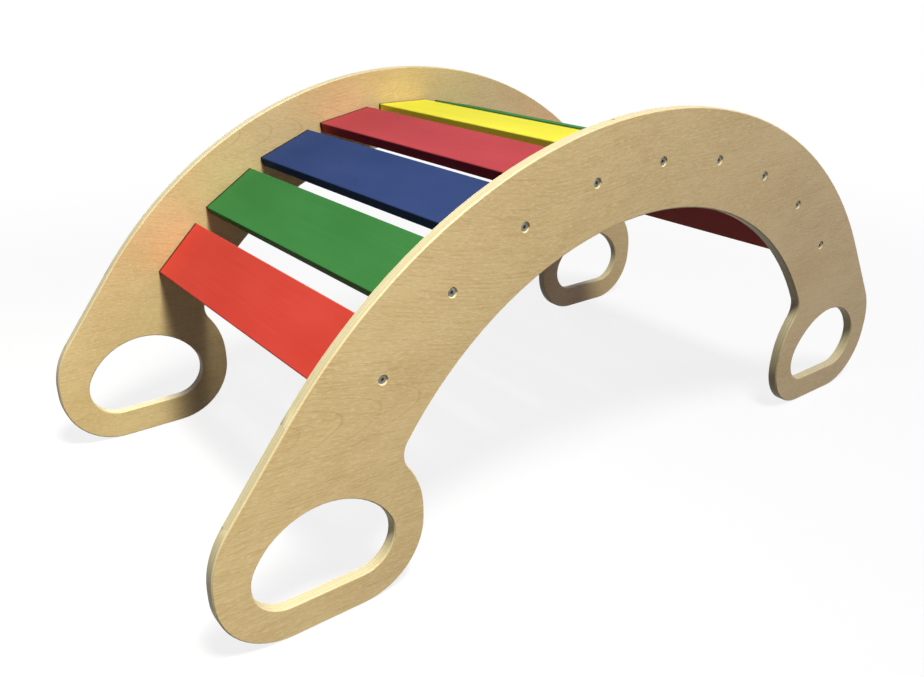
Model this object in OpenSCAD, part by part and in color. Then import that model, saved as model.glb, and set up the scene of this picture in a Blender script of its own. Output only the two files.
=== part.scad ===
/* [Side panels] */
// Overall length of the arch
arch_l = 1240; // [1180:1:1360]
// Height of the arch above the floor
arch_h = 518; // [470:1:570]
// Overall width of the arch, over both panels
arch_w = 572; // [420:1:760]
// Thickness of the plywood that the two panels are cut from
panel_t = 15; // [12:0.5:20]
// Width of the band at the crown, between its outer and inner edges
crown_w = 122; // [112:1:132]
// Distance between the centres of those two edges; the more, the wider the band grows towards the feet
band_swell = 80; // [70:1:90]
// Length of the straight flank between the outer edge's arc and a foot
flank_l = 124; // [100:1:140]
// Width of the chamfer that eases a panel's edges
arris = 1.5; // [0.5:0.1:3]

/* [Feet] */
// Half of the length of a foot
foot_half = 131.5; // [124:0.5:138]
// Radius of a foot's two lower corners
corner_r = 86; // [74:1:94]
// Height of a foot's widest line, where its shoulders start
shoulder_z = 98; // [95:1:106]
// Radius of a foot's two shoulders
shoulder_r = 111; // [104:1:118]
// Radius of the inside corner between a foot and the arch
notch_r = 28; // [18:1:36]

/* [Hand holes] */
// Half of the length of a hand hole
hole_half = 89.5; // [82:0.5:96]
// Height of a hand hole's flat lower edge
hole_z = 42; // [36:0.5:48]
// Height of the top of a hand hole
hole_top = 157; // [150:0.5:162]
// Radius of a hand hole's two lower corners
hole_corner_r = 44; // [38:0.5:50]

/* [Slats] */
// How much larger the radius of the slats' curve is than that of the band's middle line
slat_flat = 6; // [0:0.5:12]
// Distance along that curve from the middle of an end slat to the inside corner over a foot
end_room = 45; // [36:1:60]
// How much further out the two end slats sit than even steps would put them
end_shift = 5.3; // [0:0.1:8]
// Width of a slat
slat_w = 92; // [78:1:98]
// Thickness of a slat
slat_t = 15; // [14:0.5:20]
// Radius that a slat's edges are eased to
slat_ease = 1.5; // [0.5:0.1:3]

/* [Screws] */
// Diameter of a screw's head
head_d = 10; // [9:0.1:11]
// Diameter of the recess drilled in the panel over a screw's head
sink_d = 12.6; // [11.6:0.1:13.4]
// Depth of the head's top below the panel's face
head_sink = 1.8; // [1.2:0.1:2.4]
// Height of the straight rim above the head's cone
head_rim = 0.3; // [0.2:0.1:0.8]
// Diameter of the plain shoulder in the panel
shoulder_d = 6.8; // [6:0.1:7]
// Diameter of the core in the slat
core_d = 4.8; // [4:0.1:5.2]
// Diameter over the thread
thread_d = 6.6; // [6:0.1:6.8]
// Rise from one thread ridge to the next
thread_pitch = 3; // [2.5:0.1:4]
// Number of thread ridges
thread_turns = 10; // [6:1:12]
// Width across the flats of the hexagon socket
socket_af = 4; // [3:0.1:4.5]
// Depth of the socket
socket_deep = 2.6; // [1.5:0.1:3]
// Gap left round a screw, in its countersink and in its holes
screw_gap = 0.1; // [0.05:0.05:0.3]

/* [Dowels] */
// Diameter of a dowel
dowel_d = 6; // [5:0.1:8]
// Length of a dowel
dowel_l = 30; // [26:1:34]
// Depth that a dowel stands in the panel
dowel_bite = 10; // [7:0.5:10]
// Distance between the two dowels of a slat's end
dowel_gap = 56; // [40:1:62]
// Chamfer on a dowel's ends
dowel_chamfer = 0.8; // [0.4:0.1:1.2]
// Space left for glue past a dowel's ends, and for air under it
glue_gap = 0.5; // [0.2:0.1:1]

/* [Hidden] */
$fn = 96;
slat_count = 9;
socket_sides = 6;
crown_slat = (slat_count + 1) / 2;
// How far a cutting shape runs past the face that it cuts
past = 1;
// How far a smooth joint's two shapes sink into each other
lap = 0.02;
wood = [0.80, 0.68, 0.48];
beech = [0.78, 0.60, 0.42];
red = [0.87, 0.25, 0.20];
green = [0.27, 0.57, 0.27];
blue = [0.22, 0.30, 0.52];
crimson = [0.80, 0.30, 0.34];
yellow = [0.98, 0.93, 0.28];
zinc = [0.62, 0.64, 0.64];

// In a panel's plane, bearings are measured from straight up towards +X
function turn(b) = [sin(b), cos(b)];
function bearing(v) = atan2(v[0], v[1]);
// The point ra from a and rb from b, on the left when a looks at b
function meet(a, ra, b, rb) =
    let (d = norm(b - a), swing = acos((ra * ra + d * d - rb * rb) / (2 * ra * d)))
    a + ra * turn(bearing(b - a) - swing);

// Foot's place, and the centres of its arcs
foot_x = arch_l / 2 - foot_half;
corner_x = foot_half - corner_r;
shoulder_x = foot_half - shoulder_r;
shoulder_out = [foot_x + shoulder_x, shoulder_z];
shoulder_in = [foot_x - shoulder_x, shoulder_z];

// The outer arc tops out at arch_h, and a flank of flank_l joins it smoothly to the outer shoulder
shoulder_drop = arch_h - shoulder_z;
outer_r = (shoulder_out[0] ^ 2 + shoulder_drop ^ 2 - shoulder_r ^ 2 - flank_l ^ 2)
    / (2 * (shoulder_drop - shoulder_r));
outer_c = [0, arch_h - outer_r];
flank_turn = bearing(shoulder_out - outer_c) - atan(flank_l / (outer_r - shoulder_r));
flank_top = outer_c + (outer_r - lap) * turn(flank_turn);

// The inner arc, and the notch's arc that joins it smoothly to the inner shoulder
inner_r = outer_r - crown_w - band_swell;
inner_c = outer_c + [0, band_swell];
notch_c = meet(inner_c, inner_r - notch_r + lap, shoulder_in, shoulder_r + notch_r - lap);
notch_end = inner_c + (inner_r + crown_w / 2) * turn(bearing(notch_c - inner_c));

// Arc that closes a hand hole over its two corner circles
hole_corner_x = hole_half - hole_corner_r;
hole_corner_z = hole_z + hole_corner_r;
hole_rise = hole_top - hole_corner_z;
vault_r = (hole_corner_x ^ 2 + hole_rise ^ 2 - hole_corner_r ^ 2)
    / (2 * (hole_rise - hole_corner_r));
vault_c = [0, hole_top - vault_r];
vault_turn = bearing([hole_corner_x, hole_corner_z] - vault_c);
vault_reach = (vault_r + arris + 3 * past) / cos(vault_turn);

// Slats' places on their curve; each slat lies square to the line from the outer arc's centre
slat_l = arch_w - 2 * panel_t;
slat_r = (outer_r + inner_r) / 2 + slat_flat;
slat_c = [0, arch_h - crown_w / 2 - slat_r];
shift_turn = chord_turn(end_shift);
pitch_turn = (bearing(notch_c - slat_c) - chord_turn(end_room) - shift_turn) / (crown_slat - 1);
function chord_turn(l) = 2 * asin(l / (2 * slat_r));
function slat_turn(i) = let (n = i - crown_slat)
    n * pitch_turn + (i == 1 || i == slat_count ? sign(n) * shift_turn : 0);
function slat_at(i) = slat_c + slat_r * turn(slat_turn(i));
function slat_tilt(i) = bearing(slat_at(i) - outer_c);

// Depths and lengths along a screw; its head's cone and its countersink both slope at 45 degrees
cone_z = head_sink + head_rim;
cone_l = (head_d - shoulder_d) / 2;
mouth_d = head_d + 2 * (screw_gap + cone_z + past);
thread_h = (thread_d - core_d) / 2;
thread_l = (thread_turns + 1) * thread_pitch;
tip_l = core_d / 2;

// Section of a sheet w wide with one edge of it eased, run on past both faces
module sheet_section(w, ease = arris) {
    polygon([[0, -past], [w - ease - past, -past], [w, ease], [w, panel_t - ease],
        [w - ease - past, panel_t + past], [0, panel_t + past]]);
}

// Section of a cutter that reaches w into a sheet, and eases the edges it leaves
module cutter_section(w) {
    polygon([[0, -2 * past], [w + arris + 2 * past, -2 * past], [w, arris], [w, panel_t - arris],
        [w + arris + 2 * past, panel_t + 2 * past], [0, panel_t + 2 * past]]);
}

module turned(at) {
    translate(at) rotate_extrude() children();
}

// Draws a section out into a bar l long, along an edge whose outside has bearing b
module run(at, l, b) {
    translate(at) rotate([90, 0, 90 - b]) linear_extrude(l) children();
}

// Keeps what lies above the shoulders' centres
module above_shoulders() {
    intersection() {
        children();
        translate([-outer_r, shoulder_z, -2 * past]) cube([2 * outer_r, outer_r, panel_t + 4 * past]);
    }
}

// Foot of the panel, from its flat lower edge up over its shoulders
module foot() {
    translate([foot_x, 0]) {
        for (side = [0, 1]) mirror([side, 0, 0]) {
            turned([corner_x, corner_r]) sheet_section(corner_r);
            above_shoulders() turned([shoulder_x, shoulder_z]) sheet_section(shoulder_r);
            run([0, shoulder_z], shoulder_z - corner_r, 90) sheet_section(foot_half);
        }
        run([corner_x, corner_r], 2 * corner_x, 180) sheet_section(corner_r);
    }
}

module hand_hole() {
    translate([foot_x, 0]) {
        for (side = [-1, 1]) turned([side * hole_corner_x, hole_corner_z]) cutter_section(hole_corner_r);
        run([hole_corner_x, hole_corner_z + lap], 2 * hole_corner_x, 180)
            cutter_section(hole_corner_r + lap);
        intersection() {
            turned(vault_c + [0, lap]) cutter_section(vault_r - lap);
            translate([0, 0, -3 * past]) linear_extrude(panel_t + 6 * past)
                polygon([vault_c, for (side = [1, -1]) vault_c + vault_reach * turn(side * vault_turn)]);
        }
    }
}

module band() {
    above_shoulders() difference() {
        turned(outer_c) sheet_section(outer_r);
        turned(inner_c) cutter_section(inner_r);
    }
}

// Fills the corner under the flank, and rounds the inside corner over the foot's inner shoulder; the
// flank's edges are eased by lap more, so that they cross those of the arcs at clear points
module blend() {
    run(flank_top - crown_w / 2 * turn(flank_turn), flank_l, flank_turn)
        sheet_section(crown_w / 2, arris + lap);
    difference() {
        translate([0, 0, -past]) linear_extrude(panel_t + 2 * past)
            polygon([notch_c, shoulder_in, notch_end]);
        turned(notch_c) cutter_section(notch_r);
    }
}

// Panel lying flat, its outer face down; one slab cuts both faces, so that they're flat right across
module blank() {
    difference() {
        intersection() {
            union() {
                band();
                for (side = [0, 1]) mirror([side, 0, 0]) {
                    foot();
                    blend();
                }
            }
            translate([-arch_l, -past, 0]) cube([2 * arch_l, arch_h + 2 * past, panel_t]);
        }
        for (side = [0, 1]) mirror([side, 0, 0]) hand_hole();
    }
}

// Stands what is drawn flat up in the front panel's place, its outer face at the front
module stand_front() {
    translate([0, -arch_w / 2, 0]) rotate([90, 0, 0]) mirror([0, 0, 1]) children();
}

// Puts a copy of a slat's fitting, drawn along +Z, at the front end of slat i
module at_end(i) {
    translate([slat_at(i)[0], -arch_w / 2, slat_at(i)[1]]) rotate([0, slat_tilt(i), 0])
        rotate([-90, 0, 0]) children();
}

module at_dowels() {
    for (side = [-1, 1]) translate([side * dowel_gap / 2, 0, panel_t]) children();
}

// Countersunk furniture screw, drawn from the panel's face down to its tip inside the slat
module screw() {
    difference() {
        union() {
            translate([0, 0, head_sink]) cylinder(d = head_d, h = head_rim);
            translate([0, 0, cone_z]) cylinder(d1 = head_d, d2 = shoulder_d, h = cone_l);
            translate([0, 0, cone_z]) cylinder(d = shoulder_d, h = panel_t - cone_z);
            translate([0, 0, panel_t - past]) cylinder(d = core_d, h = thread_l + past);
            for (ridge = [1:thread_turns]) translate([0, 0, panel_t + ridge * thread_pitch]) thread_ridge();
            translate([0, 0, panel_t + thread_l]) cylinder(d1 = core_d, d2 = 0, h = tip_l);
        }
        translate([0, 0, head_sink - past])
            cylinder(d = socket_af / cos(180 / socket_sides), h = past + socket_deep, $fn = socket_sides);
    }
}

module thread_ridge() {
    for (side = [0, 1]) mirror([0, 0, side])
        cylinder(d1 = thread_d, d2 = core_d, h = thread_h / 2);
}

// Countersink with a short straight wall over it, then the holes for the shoulder and the thread
module screw_bore() {
    translate([0, 0, -past]) intersection() {
        cylinder(d = sink_d, h = past + cone_z + cone_l);
        cylinder(d1 = mouth_d, d2 = shoulder_d + 2 * screw_gap, h = past + cone_z + cone_l);
    }
    cylinder(d = shoulder_d + 2 * screw_gap, h = panel_t + past);
    translate([0, 0, panel_t]) cylinder(d = thread_d + 2 * screw_gap, h = thread_l + tip_l + past);
}

module dowel() {
    translate([0, 0, -dowel_bite]) {
        translate([0, 0, dowel_chamfer]) cylinder(d = dowel_d, h = dowel_l - 2 * dowel_chamfer);
        for (side = [0, 1]) translate([0, 0, side * dowel_l]) mirror([0, 0, side])
            cylinder(d1 = dowel_d - 2 * dowel_chamfer, d2 = dowel_d, h = dowel_chamfer);
    }
}

module dowel_bore() {
    translate([0, 0, -dowel_bite - glue_gap]) cylinder(d = dowel_d, h = dowel_l + 2 * glue_gap);
}

module panel() {
    difference() {
        stand_front() blank();
        for (i = [1:slat_count]) at_end(i) {
            screw_bore();
            at_dowels() dowel_bore();
        }
    }
}

module slat(i) {
    difference() {
        translate([slat_at(i)[0], 0, slat_at(i)[1]]) rotate([0, slat_tilt(i), 0]) slat_blank();
        for (end = [0, 1]) mirror([0, end, 0]) at_end(i) {
            screw_bore();
            at_dowels() dowel_bore();
        }
    }
}

// Slat before it is drilled, with all its edges eased
module slat_blank() {
    intersection() {
        rotate([90, 0, 0]) linear_extrude(slat_l, center = true) eased(slat_w, slat_t);
        rotate([90, 0, 90]) linear_extrude(slat_w, center = true) eased(slat_l, slat_t);
        linear_extrude(slat_t, center = true) eased(slat_w, slat_l);
    }
}

module eased(a, b) {
    square([a - 2 * slat_ease, b], center = true);
    square([a, b - 2 * slat_ease], center = true);
    for (x = [-1, 1], y = [-1, 1])
        translate([x * (a / 2 - slat_ease), y * (b / 2 - slat_ease)]) circle(slat_ease);
}

module side_front() {
    color(wood) panel();
}
module side_back() {
    color(wood) mirror([0, 1, 0]) panel();
}
module slat_1() {
    color(red) slat(1);
}
module slat_2() {
    color(green) slat(2);
}
module slat_3() {
    color(blue) slat(3);
}
module slat_4() {
    color(crimson) slat(4);
}
module slat_5() {
    color(yellow) slat(5);
}
module slat_6() {
    color(green) slat(6);
}
module slat_7() {
    color(blue) slat(7);
}
module slat_8() {
    color(crimson) slat(8);
}
module slat_9() {
    color(red) slat(9);
}
module screws_front() {
    color(zinc) for (i = [1:slat_count]) at_end(i) screw();
}
module screws_back() {
    color(zinc) mirror([0, 1, 0]) for (i = [1:slat_count]) at_end(i) screw();
}
module dowels_front() {
    color(beech) for (i = [1:slat_count]) at_end(i) at_dowels() dowel();
}
module dowels_back() {
    color(beech) mirror([0, 1, 0]) for (i = [1:slat_count]) at_end(i) at_dowels() dowel();
}

side_front();
side_back();
slat_1();
slat_2();
slat_3();
slat_4();
slat_5();
slat_6();
slat_7();
slat_8();
slat_9();
screws_front();
screws_back();
dowels_front();
dowels_back();
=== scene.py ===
"""Looks of a wooden rocker arch: varnished plywood panels, painted slats, and their screws and dowels."""
from math import radians

import bmesh
import bpy
from mathutils import Matrix, Vector


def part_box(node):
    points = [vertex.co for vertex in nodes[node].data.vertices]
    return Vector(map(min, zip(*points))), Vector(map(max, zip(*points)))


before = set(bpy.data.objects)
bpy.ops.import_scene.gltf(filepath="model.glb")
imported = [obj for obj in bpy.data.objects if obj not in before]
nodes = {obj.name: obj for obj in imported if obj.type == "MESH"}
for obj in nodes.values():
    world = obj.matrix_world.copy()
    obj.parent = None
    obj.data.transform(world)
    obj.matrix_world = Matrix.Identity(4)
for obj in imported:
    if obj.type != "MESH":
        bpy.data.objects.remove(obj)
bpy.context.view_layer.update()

# Lengths in metres: the panels' thickness, half the arch's width, and the width and fade of the shadow
# painted onto a slat's end where it meets a panel
PANEL_T = 0.015
HALF_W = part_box("side_back")[1].y
PAINTED_SHADOW_W, PAINTED_SHADOW_FADE = 0.0048, 0.0016
PLIES = 4  # pale bands across a cut edge

# Linear colours
WOOD_DEEP, WOOD_PALE = (0.74, 0.535, 0.222), (0.89, 0.675, 0.315)
WOOD_LINE, WOOD_FLECK = (0.52, 0.32, 0.10), (0.98, 0.82, 0.50)
PLY_DEEP, PLY_PALE = (0.645, 0.565, 0.325), (0.720, 0.645, 0.385)
PLY_PORE, PLY_GLUE, PLY_GAP = (0.44, 0.32, 0.15), (0.32, 0.22, 0.09), (0.10, 0.06, 0.03)
# The painted shadow in the joint where a slat's end meets a panel
PAINTED_SHADOW_DARK = (0.02, 0.015, 0.01)
ZINC_DEEP, ZINC_PALE = (0.20, 0.20, 0.185), (0.30, 0.30, 0.28)
BEECH_DEEP, BEECH_PALE, BEECH_RAY = (0.50, 0.31, 0.16), (0.66, 0.45, 0.27), (0.32, 0.17, 0.08)
FLOOR_SHOWN, FLOOR_DULL = (0.92, 0.92, 0.91), (0.06, 0.058, 0.055)
SKY_VIOLET = (0.62, 0.45, 1.0)
WHITE = (1.0, 1.0, 1.0)

# Each paint's deeper and paler tone, and its gloss
PAINTS = {
    "red": ((0.586, 0.0535, 0.036), (0.641, 0.067, 0.046), 0.03),
    "green": ((0.042, 0.186, 0.045), (0.051, 0.213, 0.055), 0.008),
    "blue": ((0.027, 0.050, 0.145), (0.036, 0.061, 0.173), 0.008),
    "crimson": ((0.404, 0.055, 0.062), (0.460, 0.063, 0.072), 0.008),
    "yellow": ((0.760, 0.700, 0.050), (0.815, 0.762, 0.062), 0.008),
}
SLATS = ("red", "green", "blue", "crimson", "yellow", "green", "blue", "crimson", "red")

# The photograph's size, its lens's focal length and the point where the lens's axis meets it, all in pixels
PHOTO_W, PHOTO_H = 924, 677
FOCAL = 832.679
AXIS_X, AXIS_Y = 438.101, 395.754
SENSOR_W = 36.0  # millimetres


class Value:
    """One output of a node. Arithmetic on it adds Math nodes."""

    def __init__(self, graph, socket):
        self.graph, self.socket = graph, socket

    def math(self, operation, *others):
        return self.graph.node("ShaderNodeMath", {"operation": operation}, dict(enumerate((self, *others))))

    def __add__(self, other):
        return self.math("ADD", other)

    __radd__ = __add__

    def __sub__(self, other):
        return self.math("SUBTRACT", other)

    def __rsub__(self, other):
        return self.graph.node("ShaderNodeMath", {"operation": "SUBTRACT"}, {0: other, 1: self})

    def __mul__(self, other):
        return self.math("MULTIPLY", other)

    __rmul__ = __mul__

    def step(self, low, high):
        """0 below low, 1 above high, and smooth between them; high may be the smaller."""
        turned = low > high
        return self.graph.node("ShaderNodeMapRange", {"interpolation_type": "SMOOTHSTEP"}, {
            "Value": self,
            "From Min": min(low, high), "From Max": max(low, high),
            "To Min": float(turned), "To Max": float(not turned),
        })


class Graph:
    """The nodes of a material or of the world."""

    def __init__(self, owner, end):
        owner.use_nodes = True
        self.tree, self.end = owner.node_tree, end
        self.tree.nodes.clear()

    def node(self, kind, settings=None, inputs=None, out=0):
        made = self.tree.nodes.new(kind)
        for key, value in (settings or {}).items():
            setattr(made, key, value)
        for key, value in (inputs or {}).items():
            if isinstance(value, Value):
                self.tree.links.new(value.socket, made.inputs[key])
            else:
                made.inputs[key].default_value = value
        return Value(self, made.outputs[out])

    def blend(self, share, first, second):
        return self.node("ShaderNodeMixShader", {}, {0: share, 1: first, 2: second})

    def seen(self):
        """1 to the camera, to gloss and through glass; 0 to soft light."""
        rays = ("Is Camera Ray", "Is Glossy Ray", "Is Transmission Ray")
        camera_ray, gloss, glass = (self.node("ShaderNodeLightPath", out=ray) for ray in rays)
        return camera_ray.math("MAXIMUM", gloss).math("MAXIMUM", glass)

    def surface(self, shader):
        """Ends the graph with this shader."""
        end = self.tree.nodes.new(self.end)
        self.tree.links.new(shader.socket, end.inputs["Surface"])


class Finish(Graph):
    """A material and its nodes, with the object's own x, y and z in metres."""

    def __init__(self, name):
        self.material = bpy.data.materials.new(name)
        super().__init__(self.material, "ShaderNodeOutputMaterial")
        self.place = self.node("ShaderNodeTexCoord", out="Object")
        axes = (self.node("ShaderNodeSeparateXYZ", {}, {0: self.place}, out=axis) for axis in "XYZ")
        self.x, self.y, self.z = axes

    def noise(self, place, fineness, detail=2.0, roughness=0.5):
        """Cloudy noise from 0 to 1 over three values, each with its fineness in lumps a metre."""
        spread = {axis: value * fine for axis, (value, fine) in enumerate(zip(place, fineness))}
        return self.node("ShaderNodeTexNoise", {}, {
            "Vector": self.node("ShaderNodeCombineXYZ", {}, spread),
            "Scale": 1.0, "Detail": detail, "Roughness": roughness,
        })

    def mix(self, share, first, second):
        """The first colour, and as much of the second as share says."""
        a, b = (c if isinstance(c, Value) else (*c, 1.0) for c in (first, second))
        return self.node("ShaderNodeMix", {"data_type": "RGBA"}, {0: share, 6: a, 7: b}, out=2)

    def bump(self, height, strength, distance):
        return self.node("ShaderNodeBump", {}, {"Strength": strength, "Distance": distance, "Height": height})

    def coat(self, inputs):
        """Ends the material with one coat, and gives the material."""
        self.surface(self.node("ShaderNodeBsdfPrincipled", {}, inputs))
        return self.material


def veneer(f, cloud):
    """A panel's face: its colour, its fibre and its pale flecks."""
    x, y, z = f.x, f.y, f.z
    # The figure is level at the feet, falls 72 mm along the flank and rises 37 mm again over the crown
    flank = x.step(-0.60, -0.16) * z.step(0.15, 0.27)
    crown, beyond = x.step(-0.18, 0.02), x.step(0.02, 0.34)
    wander = f.noise((x, y, z), (3.0, 3.0, 9.0)) - 0.5
    fall = flank * 0.072 - crown * 0.019 - beyond * 0.018
    lean = z + fall + wander * 0.012
    grain = (x, y, lean)
    figure = f.noise(grain, (26.0, 40.0, 380.0), detail=3.0, roughness=0.62)
    fibre = f.noise(grain, (110.0, 40.0, 950.0), detail=4.0, roughness=0.62)
    fleck = f.noise(grain, (165.0, 40.0, 900.0), detail=1.0).step(0.54, 0.66)
    # Growth lines in patches
    line = (lean * 215.0 + cloud * 2.0).math("FRACT").step(0.30, 0.0)
    patch = f.noise(grain, (10.0, 40.0, 70.0), detail=1.0).step(0.52, 0.64)
    # One nest of long loops on each panel, where the knife ran along the growth rings: the height of its
    # middle, its tip, and how sharply it bends. On the back panel it lies further along and higher
    nest_z, tip, bend = 0.25, -0.330, 74.0
    along, higher = 0.32, 0.19
    back = y.step(-0.01, 0.01)
    above = z - nest_z - back * higher
    loops = x - back * along + above * above * bend
    nest = loops.step(tip, tip - 0.020)
    ring = (loops * 20.0 + cloud * 0.6).math("FRACT").step(0.12, 0.0)
    growth = line * patch * (1.0 - nest) + ring * nest
    tone = (fibre * 0.45 + figure * 0.15 + cloud * 0.40).step(0.34, 0.64)
    face = f.mix(tone, WOOD_DEEP, WOOD_PALE)
    face = f.mix(figure.step(0.45, 0.34) * 0.16, face, WOOD_LINE)
    face = f.mix(growth * 0.32, face, WOOD_LINE)
    return f.mix(fleck * 0.42, face, WOOD_FLECK), fibre, fleck


def plies(f):
    """A panel's cut edge: its colour, its glue lines and the pores of its end grain."""
    depth = (HALF_W - f.y.math("ABSOLUTE")) * (PLIES / PANEL_T)
    ply, within = depth.math("FLOOR"), depth.math("FRACT")
    # Each ply has its own shift of the noise, so that the plies differ
    pore = f.noise((f.x, ply, f.z), (800.0, 7.3, 800.0))
    slow = f.noise((f.x, ply, f.z), (18.0, 5.1, 18.0))
    gap = f.noise((f.x, ply, f.z), (60.0, 11.7, 60.0), detail=0.0).step(0.82, 0.84)
    # Thin glue lines at both sides of a ply, which fade in places to a share of their strength
    least = 0.15
    sides = within.step(0.13, 0.03) + within.step(0.87, 0.97)
    glue = sides * (least + slow.step(0.35, 0.62) * (1.0 - least))
    edge = f.mix(slow.step(0.3, 0.7), PLY_DEEP, PLY_PALE)
    edge = f.mix(pore.step(0.56, 0.74) * 0.25, edge, PLY_PORE)
    edge = f.mix(glue * 0.72, edge, PLY_GLUE)
    return f.mix(gap * 0.8, edge, PLY_GAP), glue, pore


def plywood():
    """Birch plywood under clear satin varnish: rotary-cut face veneers, and plies across every cut edge."""
    f = Finish("plywood")
    cloud = f.noise((f.x, f.y, f.z), (8.0, 9.0, 15.0), detail=4.0, roughness=0.6)
    face, fibre, fleck = veneer(f, cloud)
    edge, glue, pore = plies(f)
    normal = f.node("ShaderNodeNewGeometry", out="Normal")
    facing = f.node("ShaderNodeSeparateXYZ", {}, {0: normal}, out="Y")
    cut = facing.math("ABSOLUTE").step(0.85, 0.55)
    height = fibre * (1.0 - cut) + (glue * -0.6 + pore * 0.4) * cut
    return f.coat({
        "Base Color": f.mix(cut, face, edge),
        "Roughness": 0.46 + cut * 0.10 + fleck * -0.06,
        "Specular IOR Level": 0.45,
        "Normal": f.bump(height, strength=0.12, distance=0.0003),
    })


def paint(name, deep, pale, gloss):
    """Paint rolled along the slat, with the grain under it only just showing and a painted joint shadow at
    both ends.
    """
    f = Finish("paint_" + name)
    place = f.x, f.y, f.z
    grain = f.noise(place, (260.0, 6.0, 260.0), detail=3.0, roughness=0.6)
    cloud = f.noise(place, (16.0, 7.0, 16.0))
    peel = f.noise(place, (900.0, 900.0, 900.0), detail=1.0)
    tone = (grain * 0.35 + cloud * 0.65).step(0.3, 0.7)
    # Painted shadow: the paint darkens over the last few millimetres before each end, where the slat meets a
    # panel
    shadow_from = HALF_W - PANEL_T - PAINTED_SHADOW_W
    painted_shadow = f.y.math("ABSOLUTE").step(shadow_from - PAINTED_SHADOW_FADE, shadow_from)
    return f.coat({
        "Base Color": f.mix(painted_shadow * 0.85, f.mix(tone, deep, pale), PAINTED_SHADOW_DARK),
        "Roughness": 0.46 + grain * 0.12,
        "Specular IOR Level": gloss,
        "Normal": f.bump(grain * 0.6 + peel * 0.4, strength=0.07, distance=0.0002),
    })


def zinc():
    """Zinc on steel, dulled in patches and lightly scuffed."""
    f = Finish("zinc")
    place = f.x, f.y, f.z
    scuff = f.noise(place, (700.0, 700.0, 700.0), detail=3.0, roughness=0.6)
    blotch = f.noise(place, (220.0, 220.0, 220.0), detail=1.0)
    return f.coat({
        "Base Color": f.mix(blotch.step(0.3, 0.7), ZINC_DEEP, ZINC_PALE),
        "Metallic": 1.0,
        "Roughness": 0.34 + scuff * 0.22,
        "Normal": f.bump(scuff, strength=0.15, distance=0.0001),
    })


def beech():
    """Raw beech dowel, with short dark rays along it."""
    f = Finish("beech")
    place = f.x, f.y, f.z
    grain = f.noise(place, (900.0, 60.0, 900.0), detail=3.0, roughness=0.6)
    ray = f.noise(place, (1500.0, 250.0, 1500.0), detail=0.0).step(0.62, 0.70)
    body = f.mix(grain.step(0.35, 0.65), BEECH_DEEP, BEECH_PALE)
    return f.coat({
        "Base Color": f.mix(ray * 0.5, body, BEECH_RAY),
        "Roughness": 0.62 + grain * 0.1,
        "Normal": f.bump(grain, strength=0.2, distance=0.0002),
    })


def dress(names, material):
    for name in names:
        mesh = nodes[name].data
        mesh.materials.clear()
        mesh.materials.append(material)


def add(name, data):
    """A new object of the scene, such as a lamp."""
    holder = bpy.data.objects.new(name, data)
    bpy.context.scene.collection.objects.link(holder)
    return holder


def camera():
    """The photograph's place and lens, with its right, down and forward directions."""
    place = (-0.8311, -0.9421, 0.6614)
    right = Vector((0.8013221, -0.5981993, 0.0063608))
    down = Vector((-0.2679823, -0.3684432, -0.8901883))
    forward = Vector((0.5348536, 0.7116230, -0.4555485))
    data = bpy.data.cameras.new("camera")
    data.sensor_width = SENSOR_W
    data.lens = SENSOR_W * FOCAL / PHOTO_W
    data.shift_x = (PHOTO_W / 2 - AXIS_X) / PHOTO_W
    data.shift_y = (AXIS_Y - PHOTO_H / 2) / PHOTO_W
    data.clip_end = 200.0
    turn = Matrix((right, -down, -forward)).transposed().to_4x4()
    holder = add("camera", data)
    holder.matrix_world = Matrix.Translation(place) @ turn
    bpy.context.scene.camera = holder


def lamp(name, at, towards, size, power, colour, cone=None):
    """A soft disc, or with a cone a spot that fades from its axis to its rim."""
    data = bpy.data.lights.new(name, "SPOT" if cone else "AREA")
    if cone:
        data.shadow_soft_size, data.spot_size, data.spot_blend = size, radians(cone), 1.0
    else:
        data.shape, data.size = "DISK", size
    data.energy, data.color = power, colour
    holder = add(name, data)
    holder.location = at
    holder.rotation_euler = (Vector(towards) - Vector(at)).to_track_quat("-Z", "Y").to_euler()


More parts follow.
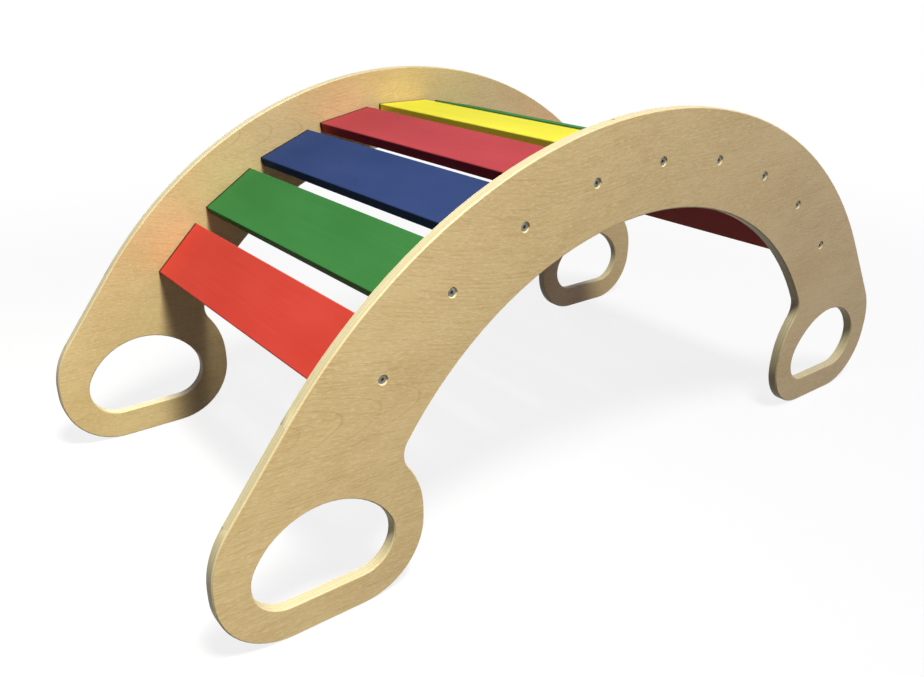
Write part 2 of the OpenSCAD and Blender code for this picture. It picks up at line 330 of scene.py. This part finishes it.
def floor_finish():
    """White with a faint shadow where it is seen, dull to soft light, and clear from below."""
    shade = 0.16  # share of the floor's white that the lamps give, and so its darkest shadow
    near, far = 0.7, 2.4  # the shadow fades out between these distances from the middle
    f = Finish("floor")
    shown = f.node("ShaderNodeBsdfDiffuse", {}, {"Color": (*FLOOR_SHOWN, 1.0)})
    glow = f.node("ShaderNodeEmission", {}, {"Color": (*WHITE, 1.0), "Strength": 1.0})
    dull = f.node("ShaderNodeBsdfDiffuse", {}, {"Color": (*FLOOR_DULL, 1.0)})
    reach = f.node("ShaderNodeVectorMath", {"operation": "LENGTH"}, {0: f.place}, out="Value")
    lit = f.blend(1.0 - shade + reach.step(near, far) * shade, shown, glow)
    top = f.blend(f.seen(), dull, lit)
    below = f.node("ShaderNodeNewGeometry", out="Backfacing")
    f.surface(f.blend(below, top, f.node("ShaderNodeBsdfTransparent")))
    return f.material


def floor():
    bm = bmesh.new()
    bmesh.ops.create_circle(bm, cap_ends=True, segments=96, radius=60.0)
    mesh = bpy.data.meshes.new("floor")
    bm.to_mesh(mesh)
    bm.free()
    mesh.materials.append(floor_finish())
    add("floor", mesh)


def surround():
    """White where it is seen, and a dim violet to soft light."""
    world = bpy.data.worlds.new("studio")
    bpy.context.scene.world = world
    sky = Graph(world, "ShaderNodeOutputWorld")
    soft = sky.node("ShaderNodeBackground", {}, {"Color": (*SKY_VIOLET, 1.0), "Strength": 0.08})
    white = sky.node("ShaderNodeBackground", {}, {"Color": (*WHITE, 1.0)})
    sky.surface(sky.blend(sky.seen(), soft, white))


def lamps():
    middle, past_the_foot = (0.0, 0.0, 0.25), (-0.9, 0.0, 0.1)
    cream, straw, violet = (1.0, 1.0, 0.96), (1.0, 0.985, 0.88), (0.57, 0.54, 1.0)
    lamp("key", (-0.4, -1.3, 3.2), middle, size=1.0, power=94.0, colour=cream)
    lamp("left", (-0.5, -1.9, 4.6), past_the_foot, size=0.6, power=1370.0, colour=straw, cone=20.0)
    lamp("fill", (1.6, -2.2, 2.4), middle, size=1.0, power=16.0, colour=violet)
    lamp("rear", (0.4, 3.4, 0.6), middle, size=1.6, power=50.0, colour=WHITE)


dress(["side_front", "side_back"], plywood())
paints = {name: paint(name, *looks) for name, looks in PAINTS.items()}
for number, name in enumerate(SLATS, 1):
    dress([f"slat_{number}"], paints[name])
dress(["screws_front", "screws_back"], zinc())
dress(["dowels_front", "dowels_back"], beech())

camera()
floor()
surround()
lamps()
bpy.context.scene.view_settings.view_transform = "Standard"
bpy.context.view_layer.update()
